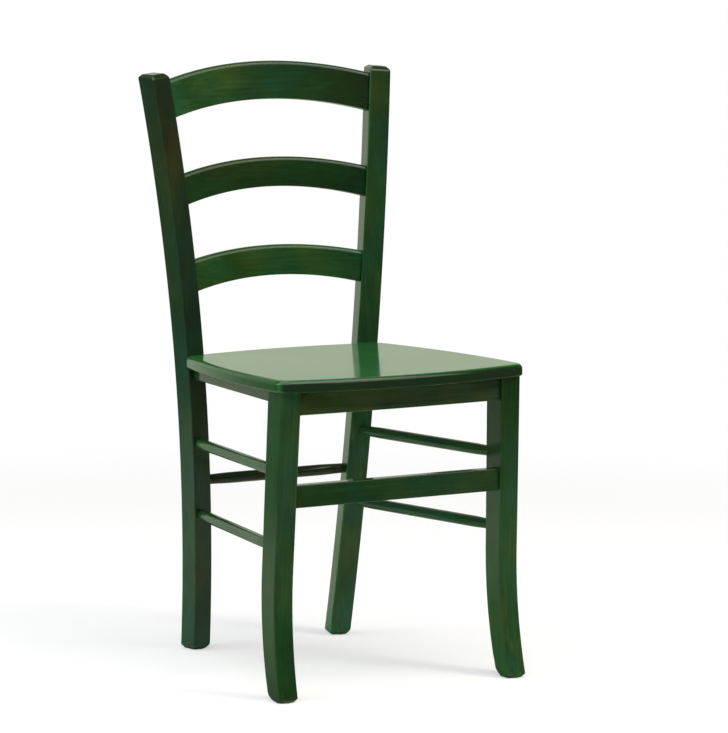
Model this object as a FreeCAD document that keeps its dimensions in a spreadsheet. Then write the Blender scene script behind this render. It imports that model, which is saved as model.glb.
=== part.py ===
# Ladder-back dining chair of green stained beech, built as a joiner builds it.
# Frame: millimetres, +Z up, the sitter faces -Y, the origin is on the floor under the
# middle of the whole chair. Left and right are seen from the front: left is -X.
import FreeCAD
import Part
import math
import os
import re
import Sketcher
from types import SimpleNamespace
from FreeCAD import Placement, Rotation, Vector

os.makedirs("parts", exist_ok=True)

# Driving sizes: lengths in millimetres, angles in degrees, shares without a unit

sizes = {
    # seat board, which falls a little to the rear
    "seat_level": 460.0,                # top of the board at its rear edge
    "seat_tilt": 1.6,
    "seat_thickness": 18.0,
    "seat_depth": 419.0,                # middle of the front edge to middle of the rear edge
    "seat_rear_half": 169.0,            # half width at the rear corners, before rounding
    "seat_side_half": 207.7,            # half width at the widest place
    "seat_side_place": 332.0,           # widest place, from the rear edge
    "seat_front_bow": 33.0,             # the front edge runs out past its corners
    "seat_front_corner": 23.0,          # plan radius
    "seat_rear_corner": 10.0,
    "seat_top_round": 8.0,
    "seat_under_round": 2.5,
    "seat_post_gap": 0.3,
    # rear posts: curved in one plane, which is turned inward and splayed outward
    "post_base_half": 118.8,            # foot of the post's straight axis, from the middle
    "post_base_rear": 184.5,
    "post_turn": 13.0,
    "post_splay": 4.25,
    "post_length": 883.5,
    "post_width": 33.0,
    "post_depth_foot": 32.6,
    "post_depth_middle": 33.6,
    "post_depth_top": 36.6,
    "post_middle_height": 440.0,
    "post_forward_height": 368.0,       # where the curve stands furthest forward
    "post_bend_radius": 2744.0,
    "post_arris": 2.5,
    "post_top_round": 2.2,
    # front legs: straight above the bend, swept forward below it
    "leg_base_half": 193.2,
    "leg_splay": 1.16,
    "leg_width": 31.2,
    "leg_joint_height": 460.0,          # where the upper depth is measured
    "leg_bend_height": 190.0,
    "leg_overhang": 36.7,               # the board stands out before the leg's front face
    "leg_bend_set": 11.7,               # the bend lies behind the top of that face
    "leg_foot_sweep": 24.1,             # and the foot before the bend
    "leg_depth_top": 45.4,
    "leg_depth_bend": 41.6,
    "leg_depth_foot": 36.8,
    "leg_arris": 2.5,
    # feet of legs and posts and tops of posts, rounded off to a ball
    "foot_pad_radius": 14.5,            # flat that is left
    "foot_ball_height": 24.0,           # middle of the ball above the floor
    "top_pad_radius": 14.0,
    "top_ball_drop": 30.0,              # middle of the ball below the end of the post
    "ball_ring_radius": 36.0,           # outside of the cutter for that
    "foot_spare": 14.0,                 # blank below the floor, trimmed off
    # rails that carry the board
    "front_rail_height": 35.5,
    "front_rail_thickness": 19.0,
    "front_rail_bow": 6.0,
    "front_rail_setback": 7.5,
    "front_rail_tenon_height": 20.0,
    "rear_rail_height": 18.5,
    "rear_rail_thickness": 20.0,
    "rear_rail_setback": 6.0,
    "rear_rail_tenon_height": 11.0,
    "side_rail_height": 19.5,
    "side_rail_thickness": 18.0,
    "side_rail_setback": 9.0,
    "side_rail_tenon_height": 11.0,
    "side_rail_tenon": 10.0,
    "rail_tenon": 17.0,
    "rail_tenon_thickness": 9.0,
    "rail_arris": 2.0,
    # flat front stretcher
    "front_stretcher_level": 297.4,
    "front_stretcher_height": 33.0,
    "front_stretcher_thickness": 19.0,
    "front_stretcher_setback": 6.0,
    "front_stretcher_tenon_height": 21.0,
    # round stretchers, tapered to their ends
    "rod_radius": 8.5,
    "rod_end_radius": 7.3,
    "rod_tenon": 16.0,
    "rod_taper": 42.0,
    "rod_chamfer": 1.0,
    "rear_stretcher_level": 263.9,
    "upper_front_level": 333.1,
    "upper_rear_level": 324.4,
    "lower_front_level": 222.4,
    "lower_rear_level": 213.9,
    "side_stretcher_shift": 4.0,        # outward from the middle of the post
    # back slats, bent to an arc that meets the posts square
    "slat_thickness": 13.5,
    "slat_setback": 3.8,
    "slat_tenon": 12.0,
    "slat_tenon_thickness": 9.0,
    "slat_shoulder": 9.0,               # the tenon is lower than the end by this, twice
    "slat_front_round": 7.0,
    "slat_back_round": 4.0,
    "slat_under_round": 1.8,
    "top_slat_drop": 47.9,              # from the end of the posts to the lower edge at its middle
    "lower_slat_clearance": 109.7,      # from the board's level to that edge
    "middle_slat_offset": 1.1,          # that edge above the middle of the other two
    "top_slat_lean": 8.8,
    "top_slat_rise": 26.1,              # the arch of the lower edge
    "top_slat_height": 58.3,
    "top_slat_end_height": 60.2,
    "middle_slat_lean": 6.2,
    "middle_slat_rise": 22.9,
    "middle_slat_height": 45.2,
    "middle_slat_end_height": 48.1,
    "lower_slat_lean": 3.5,
    "lower_slat_rise": 18.1,
    "lower_slat_height": 46.0,
    "lower_slat_end_height": 49.0,
    # glued corner blocks with the screws that hold the board
    "block_height": 14.0,
    "block_reach": 34.0,
    "block_gap": 0.6,
    "screw_length": 25.0,
    "screw_radius": 2.0,
    "screw_tip": 4.0,
    "screw_head_radius": 4.0,
    "screw_head_height": 2.6,
    "screw_gap": 0.15,
    # clearances and cutter sizes
    "glue_gap": 0.12,                   # round a tenon
    "end_gap": 1.0,                     # beyond the end of a tenon
    "cutter_size": 100.0,
    "trim_size": 700.0,
}

doc = FreeCAD.newDocument("ladder_back_chair")
sheet = doc.addObject("Spreadsheet::Sheet", "Sizes")
aliases = []


def writeCells(values):
    for alias, value in values.items():
        aliases.append(alias)
        row = len(aliases)
        sheet.set("A%d" % row, alias.replace("_", " "))
        sheet.set("B%d" % row, repr(float(value)))
        sheet.setAlias("B%d" % row, alias)
    doc.recompute()


writeCells(sizes)
s = SimpleNamespace(**sizes)

# Expressions, sketches and features


def bound(text):
    # names of cells in an expression get the sheet's name before them
    return re.sub(r"[a-z]\w*", lambda word: ("Sizes." + word[0]) if word[0] in aliases else word[0], text)


def size(text):
    return float(sheet.evalExpression(bound(text)))


def shifted(x=0.0, y=0.0, z=0.0):
    return Placement(Vector(x, y, z), Rotation())


def turned(axis, degrees):
    return Placement(Vector(), Rotation(axis, degrees))


def newBody(name, frame):
    body = doc.addObject("PartDesign::Body", name)
    body.Placement = frame
    return body


def newSketch(body, role):
    plane = next(item for item in body.Origin.OriginFeatures if item.Role == role)
    sketch = body.newObject("Sketcher::SketchObject", body.Name + "_sketch")
    sketch.AttachmentSupport = (plane, [""])
    sketch.MapMode = "FlatFace"
    return sketch


def pin(sketch, edge, end, corner):
    for kind, text in zip(("DistanceX", "DistanceY"), corner):
        number = sketch.addConstraint(Sketcher.Constraint(kind, -1, 1, edge, end, size(text)))
        sketch.setExpression("Constraints[%d]" % number, bound(text))


def closedLoop(sketch, corners, vias):
    # an outline through the corners; a via makes the edge that starts at its corner an arc
    places = [Vector(size(x), size(y), 0) for x, y in corners]
    first = sketch.GeometryCount
    count = len(corners)
    for k, start in enumerate(places):
        end = places[(k + 1) % count]
        if k in vias:
            middle = Vector(size(vias[k][0]), size(vias[k][1]), 0)
            sketch.addGeometry(Part.Arc(start, middle, end), False)
        else:
            sketch.addGeometry(Part.LineSegment(start, end), False)

    def endNear(edge, place):
        gaps = [sketch.getPoint(edge, end).distanceToPoint(place) for end in (1, 2)]
        return 1 + gaps.index(min(gaps))

    for k in range(count):
        following = (k + 1) % count
        sketch.addConstraint(Sketcher.Constraint(
            "Coincident", first + k, endNear(first + k, places[following]),
            first + following, endNear(first + following, places[following])))
        pin(sketch, first + k, endNear(first + k, places[k]), corners[k])
    for k, via in vias.items():
        sketch.addGeometry(Part.Point(Vector(size(via[0]), size(via[1]), 0)), True)
        point = sketch.GeometryCount - 1
        pin(sketch, point, 1, via)
        sketch.addConstraint(Sketcher.Constraint("PointOnObject", point, 1, first + k))


def pad(body, sketch, length):
    feature = body.newObject("PartDesign::Pad", body.Name + "_pad")
    feature.Profile = sketch
    feature.SideType = "Symmetric"
    feature.setExpression("Length", bound(length))
    doc.recompute()


def cutThrough(body, sketch):
    before = body.Tip.Shape.Volume
    feature = body.newObject("PartDesign::Pocket", body.Name + "_pocket")
    feature.Profile = sketch
    feature.SideType = "Symmetric"
    feature.Type = "ThroughAll"
    doc.recompute()
    if feature.Shape.Volume >= before:
        raise RuntimeError(body.Name + " was not cut to its outline")


def roundOff(body, radius, wanted):
    base = body.Tip
    picked = ["Edge%d" % (k + 1) for k, edge in enumerate(base.Shape.Edges) if wanted(edge)]
    feature = body.newObject("PartDesign::Fillet", body.Name + "_round")
    feature.Base = (base, picked)
    feature.setExpression("Radius", bound(radius))
    doc.recompute()


def heights(edge):
    return [vertex.Z for vertex in edge.Vertexes]


def lengthwise(edge):
    # an edge that runs along the height of its piece
    return max(heights(edge)) - min(heights(edge)) > s.foot_spare


def level(height):
    def atHeight(edge):
        return all(math.isclose(z, height, abs_tol=s.glue_gap) for z in heights(edge))
    return atHeight


# Cutters: boxes start at their frame and run along its x, centred on y and z


def boxCutter(name, frame, length, width, height):
    box = doc.addObject("Part::Box", name)
    box.setExpression("Length", bound(length))
    box.setExpression("Width", bound(width))
    box.setExpression("Height", bound(height))
    box.Placement = frame * shifted(0, -size(width) / 2, -size(height) / 2)
    return box


def rodCutter(name, frame, radius, length):
    rod = doc.addObject("Part::Cylinder", name)
    rod.setExpression("Radius", bound(radius))
    rod.setExpression("Height", bound(length))
    rod.Placement = frame
    return rod


def cutBy(name, base, cutters):
    tool = cutters[0]
    if len(cutters) > 1:
        tool = doc.addObject("Part::MultiFuse", name + "_cutters")
        tool.Shapes = cutters
    cut = doc.addObject("Part::Cut", name + "_cut")
    cut.Base = base
    cut.Tool = tool
    doc.recompute()
    return cut


nodes = {}
mortises = {}


def keep(node, item):
    item.Label = node
    nodes[node] = item


def joint(name, member, face, tenonFrame, length, thickness, height):
    # the mortise goes to the member; what is returned trims the rail to shoulder and tenon
    beyond = boxCutter(name + "_beyond", face, "cutter_size", "cutter_size", "cutter_size")
    root = tenonFrame * shifted(-s.rail_tenon)
    tenon = boxCutter(name + "_tenon", root, "rail_tenon + " + length, thickness, height)
    mortise = boxCutter(name + "_mortise", root, "rail_tenon + end_gap + " + length,
                        thickness + " + 2 * glue_gap", height + " + 2 * glue_gap")
    mortises.setdefault(member, []).append(mortise)
    return cutBy(name + "_shoulder", beyond, [tenon])


# Frames and faces of the legs and posts

sides = {"left": -1, "right": 1}
xAxis = Vector(1, 0, 0)
yAxis = Vector(0, 1, 0)
zAxis = Vector(0, 0, 1)


def postFrame(side):
    foot = shifted(side * s.post_base_half, s.post_base_rear)
    return foot * turned(zAxis, -side * s.post_turn) * turned(yAxis, side * s.post_splay)


def legFrame(side):
    return shifted(side * s.leg_base_half) * turned(yAxis, -side * s.leg_splay)


def facingIn(side):
    # turns a member's frame so that x runs into it from its inner face
    return turned(zAxis, 0 if side > 0 else 180)


def arcPlace(points, height):
    # the arc through three points of a profile, read at a height
    arc = Part.Circle(*points)
    reach = math.sqrt(arc.Radius ** 2 - (height - arc.Center.y) ** 2)
    return arc.Center.x + math.copysign(reach, points[1].x - arc.Center.x)


def postPoints(sign):
    points = []
    for height, depth in ((-s.foot_spare, s.post_depth_foot),
                          (s.post_middle_height, s.post_depth_middle),
                          (s.post_length, s.post_depth_top)):
        sag = (height - s.post_forward_height) ** 2 / (2 * s.post_bend_radius)
        points.append(Vector(sag + sign * depth / 2, height, 0))
    return points


postFrontPoints = postPoints(-1)
postRearPoints = postPoints(1)


def postFront(height):
    return arcPlace(postFrontPoints, height)


def postCentre(height):
    return (postFront(height) + arcPlace(postRearPoints, height)) / 2


def legFace(front):
    # straight upper run of a face as (bend, top), and the arc below it, tangent at the bend
    bend = Vector(-s.leg_front_bend + (0 if front else s.leg_depth_bend), s.leg_bend_height, 0)
    top = Vector(-s.leg_front_top + (0 if front else s.leg_depth_top), s.leg_joint_height, 0)
    foot = Vector(-s.leg_front_foot + (0 if front else s.leg_depth_foot), 0, 0)
    run = (bend - top).normalize()
    forward = Vector(run.y, -run.x, 0)
    chord = foot - bend
    radius = chord.dot(chord) / (2 * chord.dot(forward))
    centre = bend + forward * radius

    def swept(height):
        reach = math.sqrt(radius ** 2 - (height - centre.y) ** 2)
        return centre.x + math.copysign(reach, -forward.x)

    return bend, top, swept


def legStraight(front, height):
    bend, top, _ = legFace(front)
    return bend.x + (top.x - bend.x) * (height - bend.y) / (top.y - bend.y)


def raised(place, measure, target):
    # the height along a member at which a measure of its point reaches the target
    height = target
    for _ in range(20):
        height += target - measure(place(height))
    return height


def worldLevel(point):
    return point.z


# The seat frame lies on the underside of the board, at the middle of its rear edge

turnSin = math.sin(math.radians(s.post_turn))
turnCos = math.cos(math.radians(s.post_turn))
tiltSin = math.sin(math.radians(s.seat_tilt))
tiltCos = math.cos(math.radians(s.seat_tilt))
underLevel = s.seat_level - s.seat_thickness * tiltCos
boardMiddle = (s.seat_level + underLevel) / 2


def postFrontPoint(height):
    return postFrame(1).multVec(Vector(0, postFront(height), height))


touch = postFrontPoint(raised(postFrontPoint, worldLevel, boardMiddle))
touchRear = (touch.y - (touch.z - underLevel) * tiltSin / tiltCos) / tiltCos
seatRearRadius = touch.x / turnSin
seatRearSpot = touchRear + (touch.x * turnSin - seatRearRadius - s.seat_post_gap) / turnCos + seatRearRadius
seatFrame = Placement(Vector(0, seatRearSpot * tiltCos, underLevel), Rotation(xAxis, -s.seat_tilt))


# The front legs keep under the board: their front face is set from its front edge

s.leg_front_top = (s.seat_depth - seatRearSpot) * tiltCos - s.leg_overhang
s.leg_front_bend = s.leg_front_top - s.leg_bend_set
s.leg_front_foot = s.leg_front_bend + s.leg_foot_sweep


def inSeat(point):
    return seatFrame.inverse().multVec(point)


def seatLevel(point):
    return inSeat(point).z


# Places of the rails. Each bar's frame is at the middle of its front face

derived = {"leg_front_top": s.leg_front_top, "leg_front_bend": s.leg_front_bend}


def frontLegPoint(height):
    return legFrame(1).multVec(Vector(-s.leg_width / 2, legStraight(True, height), height))


def innerPostPoint(height):
    return postFrame(1).multVec(Vector(-s.post_width / 2, postFront(height), height))


railMiddle = seatFrame.multVec(Vector(0, -s.seat_depth / 2, -s.front_rail_height / 2)).z
frontAtRail = inSeat(frontLegPoint(raised(frontLegPoint, worldLevel, railMiddle)))
frontRailFace = frontAtRail.y + s.front_rail_setback
frontRailFrame = seatFrame * shifted(0, frontRailFace, -s.front_rail_height / 2)
frontRailCentre = frontRailFrame * shifted(0, s.front_rail_thickness / 2)

frontAtStretcher = frontLegPoint(raised(frontLegPoint, worldLevel, s.front_stretcher_level))
stretcherFrame = (shifted(0, frontAtStretcher.y + s.front_stretcher_setback, s.front_stretcher_level)
                  * turned(xAxis, -s.seat_tilt))
stretcherCentre = stretcherFrame * shifted(0, s.front_stretcher_thickness / 2)

rearAtRail = inSeat(innerPostPoint(raised(innerPostPoint, worldLevel, underLevel)))
rearRailFace = rearAtRail.y + s.rear_rail_setback
rearRailFrame = seatFrame * shifted(0, rearRailFace, -s.rear_rail_height / 2)
rearRailCentre = rearRailFrame * shifted(0, s.rear_rail_thickness / 2)
derived["front_bar_half"] = s.leg_base_half
derived["rear_bar_half"] = rearAtRail.x + s.cutter_size / 2

# Side rails run from the rear face of the leg to the front face of the post

legSpot = s.leg_width / 2 - s.side_rail_setback - s.side_rail_thickness / 2
postSpot = s.post_width / 2 - s.side_rail_setback - s.side_rail_thickness / 2


def railAtLeg(height):
    return legFrame(1).multVec(Vector(legSpot, legStraight(False, height), height))


def railAtPost(height):
    return postFrame(1).multVec(Vector(postSpot, postFront(height), height))


def seatRaised(place, target):
    return raised(place, seatLevel, target)


railLegHeight = seatRaised(railAtLeg, -s.side_rail_height / 2)
railPostHeight = seatRaised(railAtPost, -s.side_rail_height / 2)
sideFront = inSeat(railAtLeg(railLegHeight))
sideRear = inSeat(railAtPost(railPostHeight))
sideRun = Vector(sideRear.x - sideFront.x, sideRear.y - sideFront.y, 0)
derived["side_bar_half"] = sideRun.Length / 2 + s.rail_tenon


def faceSlope(place, height):
    # direction of a face up the member
    return (place(height + s.glue_gap) - place(height - s.glue_gap)).normalize()


def railInner(place):
    # inner face of the right side rail at a place along y of the seat frame
    share = (place - sideFront.y) / sideRun.y
    return sideFront.x + sideRun.x * share - s.side_rail_thickness / 2 * sideRun.Length / abs(sideRun.y)


# Round stretchers: the runs between the faces that they enter


def stretcherAtLeg(height):
    return legFrame(1).multVec(Vector(0, legStraight(False, height), height))


def stretcherAtPost(height):
    return postFrame(1).multVec(Vector(s.side_stretcher_shift, postFront(height), height))


def postInnerCentre(height):
    return postFrame(1).multVec(Vector(-s.post_width / 2, postCentre(height), height))


rodRuns = {}
for tier, frontLevel, rearLevel in (("upper", s.upper_front_level, s.upper_rear_level),
                                    ("lower", s.lower_front_level, s.lower_rear_level)):
    start = stretcherAtLeg(raised(stretcherAtLeg, worldLevel, frontLevel))
    end = stretcherAtPost(raised(stretcherAtPost, worldLevel, rearLevel))
    derived["side_stretcher_%s_length" % tier] = (end - start).Length
    for word, side in sides.items():
        rodRuns["side_stretcher_%s_%s" % (tier, word)] = (
            Vector(side * start.x, start.y, start.z), Vector(side * end.x, end.y, end.z),
            "side_stretcher_%s_length" % tier, ("front_leg_" + word, "rear_post_" + word))
end = postInnerCentre(raised(postInnerCentre, worldLevel, s.rear_stretcher_level))
derived["rear_stretcher_length"] = 2 * end.x
rodRuns["rear_stretcher"] = (Vector(-end.x, end.y, end.z), end, "rear_stretcher_length",
                             ("rear_post_left", "rear_post_right"))

# Back slats: each meets the posts square, so its radius follows from where it meets them


def archDrop(half, rise, place):
    # fall of an arch from its crown, at a place across
    radius = (half ** 2 + rise ** 2) / (2 * rise)
    return radius - math.sqrt(radius ** 2 - place ** 2)


slatPlaces = {}
topLevel = s.post_length - s.top_slat_drop
lowerLevel = s.seat_level + s.lower_slat_clearance
slatLevels = {"top": topLevel, "middle": (topLevel + lowerLevel) / 2 + s.middle_slat_offset,
              "lower": lowerLevel}
for tier, slatLevel in slatLevels.items():
    at = SimpleNamespace(level=slatLevel, **{key: getattr(s, "%s_slat_%s" % (tier, key))
                                             for key in ("lean", "rise", "height", "end_height")})
    leanSin = math.sin(math.radians(at.lean))
    leanCos = math.cos(math.radians(at.lean))
    middle = at.end_height / 2 - at.rise

    def slatEnd(height):
        depth = postFront(height) + s.slat_setback + s.slat_thickness / 2
        return postFrame(1).multVec(Vector(-s.post_width / 2, depth, height))

    def aboveLevel(point):
        sag = point.x / turnSin * (1 - turnCos)
        return point.z - sag * leanSin - middle * leanCos

    at.end = slatEnd(raised(slatEnd, aboveLevel, at.level))
    at.radius = at.end.x / turnSin
    rear = at.end.y + at.radius * (1 - turnCos) * leanCos - middle * leanSin
    at.frame = Placement(Vector(0, rear, at.level), Rotation(xAxis, -at.lean))
    reach = at.end.x + s.slat_tenon + s.slat_thickness
    name = tier + "_slat"
    derived[name + "_radius"] = at.radius
    derived[name + "_reach"] = reach
    derived[name + "_under_drop"] = archDrop(at.end.x, at.rise, reach)
    derived[name + "_crown_drop"] = archDrop(at.end.x, at.rise + at.height - at.end_height, reach)
    slatPlaces[tier] = at

# Corner blocks fill the corners between the rails, clear of the legs and posts


def cornerInSeat(frame, x, face):
    # a place on a face of a leg or post, at the middle height of the blocks
    def place(height):
        return frame.multVec(Vector(x, face(height), height))
    return inSeat(place(seatRaised(place, -s.block_height / 2)))


legCorner = cornerInSeat(legFrame(1), -s.leg_width / 2, lambda height: legStraight(False, height))
postCorner = cornerInSeat(postFrame(1), -s.post_width / 2, postFront)
legX = legCorner.x - s.block_gap
legY = legCorner.y + s.block_gap
postX = postCorner.x - s.block_gap
postY = postCorner.y - s.block_gap / turnCos
besidePost = postY - (railInner(postY) - postCorner.x) * turnSin / turnCos
frontInner = frontRailFace + s.front_rail_thickness
blockShapes = {
    "front": [(legX, frontInner), (legX - s.block_reach, frontInner),
              (railInner(legY + s.block_reach), legY + s.block_reach), (railInner(legY), legY),
              (legX, legY)],
    "rear": [(postX, rearRailFace), (postX - s.block_reach, rearRailFace),
             (railInner(besidePost - s.block_reach), besidePost - s.block_reach),
             (railInner(besidePost), besidePost), (postX, postY)],
}
letters = "abcde"
for end, points in blockShapes.items():
    for letter, point in zip(letters, points):
        derived["%s_block_across_%s" % (end, letter)] = point[0]
        derived["%s_block_along_%s" % (end, letter)] = point[1]

# Outline of the seat board: the rear edge follows the posts, the sides bow outward

rearDrop = seatRearRadius - math.sqrt(seatRearRadius ** 2 - s.seat_rear_half ** 2)
widening = s.seat_side_half - s.seat_rear_half
sideRadius = ((s.seat_side_place - rearDrop) ** 2 / widening + widening) / 2


def sidePlace(place):
    # half width of the board at a distance from its rear edge
    return s.seat_side_half - sideRadius + math.sqrt(sideRadius ** 2 - (place - s.seat_side_place) ** 2)


derived["seat_rear_drop"] = rearDrop
derived["seat_side_middle"] = sidePlace(s.seat_side_place / 2)
derived["seat_front_half"] = sidePlace(s.seat_depth - s.seat_front_bow)

derived["post_front_foot"] = postFrontPoints[0].x
derived["post_front_middle"] = postFrontPoints[1].x
derived["post_front_top"] = postFrontPoints[2].x
derived["post_rear_foot"] = postRearPoints[0].x
derived["post_rear_middle"] = postRearPoints[1].x
derived["post_rear_top"] = postRearPoints[2].x
derived["leg_front_calf"] = legFace(True)[2](s.leg_bend_height / 2)
derived["leg_front_sole"] = legFace(True)[2](-s.foot_spare)
derived["leg_rear_calf"] = legFace(False)[2](s.leg_bend_height / 2)
derived["leg_rear_sole"] = legFace(False)[2](-s.foot_spare)
derived["foot_ball_radius"] = math.hypot(s.foot_pad_radius, s.foot_ball_height)
derived["top_ball_radius"] = math.hypot(s.top_pad_radius, s.top_ball_drop)
writeCells(derived)

# Rear posts and front legs: profiles in the plane of depth and height, padded to the width

blanks = {}
for word, side in sides.items():
    body = newBody("post_blank_" + word, postFrame(side))
    sketch = newSketch(body, "YZ_Plane")
    closedLoop(sketch, [("post_front_foot", "-foot_spare"),
                        ("post_front_top", "post_length"),
                        ("post_rear_top", "post_length"),
                        ("post_rear_foot", "-foot_spare")],
               {0: ("post_front_middle", "post_middle_height"),
                2: ("post_rear_middle", "post_middle_height")})
    pad(body, sketch, "post_width")
    roundOff(body, "post_arris", lengthwise)
    roundOff(body, "post_top_round", level(s.post_length))
    blanks["rear_post_" + word] = body

    body = newBody("leg_blank_" + word, legFrame(side))
    sketch = newSketch(body, "YZ_Plane")
    closedLoop(sketch, [("leg_front_sole", "-foot_spare"),
                        ("-leg_front_bend", "leg_bend_height"),
                        ("-leg_front_top", "leg_joint_height"),
                        ("leg_depth_top - leg_front_top", "leg_joint_height"),
                        ("leg_depth_bend - leg_front_bend", "leg_bend_height"),
                        ("leg_rear_sole", "-foot_spare")],
               {0: ("leg_front_calf", "leg_bend_height / 2"),
                4: ("leg_rear_calf", "leg_bend_height / 2")})
    pad(body, sketch, "leg_width")
    roundOff(body, "leg_arris", lengthwise)
    blanks["front_leg_" + word] = body

# Bars with tenons: rails and the flat stretcher


def bar(node, frame, half, thickness, height, bow, lowerOnly, cutters):
    # lies along x of its frame, its ends run to half, its front face is at y = 0
    body = newBody(node + "_blank", frame)
    sketch = newSketch(body, "XY_Plane")
    vias = {0: ("0", "-" + bow)} if bow else {}
    closedLoop(sketch, [("-" + half, "0"), (half, "0"), (half, thickness), ("-" + half, thickness)], vias)
    pad(body, sketch, height)
    under = -size(height) / 2

    def wanted(edge):
        longEdge = edge.Length > size(half)
        return longEdge and (not lowerOnly or level(under)(edge))

    roundOff(body, "rail_arris", wanted)
    keep(node, cutBy(node, body, cutters))


def innerJoint(name, member, memberFrame, width, side, centre, tenonHeight):
    # joint of a bar, whose centre line runs along x, with the inner face of a leg or post
    normal = memberFrame.Rotation.multVec(xAxis)
    onFace = memberFrame.multVec(Vector(-side * width / 2, 0, 0))
    run = centre.Rotation.multVec(xAxis)
    hit = centre.Base + run * ((onFace - centre.Base).dot(normal) / run.dot(normal))
    face = Placement(hit, (memberFrame * facingIn(side)).Rotation)
    tenonFrame = Placement(hit, (centre * facingIn(side)).Rotation)
    return joint(name, member, face, tenonFrame, "rail_tenon", "rail_tenon_thickness", tenonHeight)


frontShoulders, stretcherShoulders, rearShoulders = [], [], []
for word, side in sides.items():
    leg = "front_leg_" + word
    post = "rear_post_" + word
    frontShoulders.append(innerJoint("front_rail_" + word, leg, legFrame(side), s.leg_width, side,
                                     frontRailCentre, "front_rail_tenon_height"))
    stretcherShoulders.append(innerJoint("front_stretcher_" + word, leg, legFrame(side), s.leg_width, side,
                                         stretcherCentre, "front_stretcher_tenon_height"))
    rearShoulders.append(innerJoint("rear_rail_" + word, post, postFrame(side), s.post_width, side,
                                    rearRailCentre, "rear_rail_tenon_height"))

bar("front_seat_rail", frontRailFrame, "front_bar_half", "front_rail_thickness",
    "front_rail_height", "front_rail_bow", True, frontShoulders)
bar("rear_seat_rail", rearRailFrame, "rear_bar_half", "rear_rail_thickness",
    "rear_rail_height", "", True, rearShoulders)
bar("front_stretcher", stretcherFrame, "front_bar_half", "front_stretcher_thickness",
    "front_stretcher_height", "", False, stretcherShoulders)

for word, side in sides.items():
    def flip(vector):
        return Vector(vector.x * side, vector.y, vector.z)

    heading = math.degrees(math.atan2(sideRun.y, side * sideRun.x))
    centre = seatFrame * Placement(flip((sideFront + sideRear) / 2), Rotation(zAxis, heading))
    centre = centre * shifted(0, 0, (-s.side_rail_height / 2) - flip((sideFront + sideRear) / 2).z)
    shoulders = []
    for end, spot, place, height, memberFrame, member, intoRear in (
            ("front", sideFront, railAtLeg, railLegHeight, legFrame(side), "front_leg_" + word, False),
            ("rear", sideRear, railAtPost, railPostHeight, postFrame(side), "rear_post_" + word, True)):
        up = flip(faceSlope(place, height))
        forward = memberFrame.Rotation.multVec(xAxis).cross(up)
        into = forward * -1 if intoRear else forward
        hit = seatFrame.multVec(flip(spot))
        face = Placement(hit, Rotation(into, Vector(), up, "XZY"))
        tenonFrame = Placement(hit, (centre * turned(zAxis, 0 if intoRear else 180)).Rotation)
        shoulders.append(joint("side_rail_%s_%s" % (end, word), member, face, tenonFrame,
                               "side_rail_tenon", "rail_tenon_thickness", "side_rail_tenon_height"))
    bar("side_seat_rail_" + word, centre * shifted(0, -s.side_rail_thickness / 2), "side_bar_half",
        "side_rail_thickness", "side_rail_height", "", True, shoulders)

# Round stretchers: turned rods in bored sockets

for node, (start, end, cell, members) in rodRuns.items():
    frame = Placement(start, Rotation(zAxis, end - start))
    body = newBody(node, frame)
    sketch = newSketch(body, "XZ_Plane")
    closedLoop(sketch, [
        ("0", "-rod_tenon"),
        ("rod_end_radius - rod_chamfer", "-rod_tenon"),
        ("rod_end_radius", "rod_chamfer - rod_tenon"),
        ("rod_end_radius", "0"),
        ("rod_radius", "rod_taper"),
        ("rod_radius", cell + " - rod_taper"),
        ("rod_end_radius", cell),
        ("rod_end_radius", cell + " + rod_tenon - rod_chamfer"),
        ("rod_end_radius - rod_chamfer", cell + " + rod_tenon"),
        ("0", cell + " + rod_tenon")], {})
    turning = body.newObject("PartDesign::Revolution", node + "_turning")
    turning.Profile = sketch
    turning.ReferenceAxis = (sketch, ["V_Axis"])
    turning.Angle = 360
    doc.recompute()
    keep(node, body)
    for member, place, word in zip(members, (-s.rod_tenon - s.end_gap, size(cell) - s.rod_end_radius),
                                   ("first", "second")):
        mortises.setdefault(member, []).append(rodCutter(
            "%s_socket_%s" % (node, word), frame * shifted(0, 0, place),
            "rod_end_radius + glue_gap", "rod_tenon + end_gap + rod_end_radius"))

# Back slats: bent boards cut to an arched outline, tenoned into the posts

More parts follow.
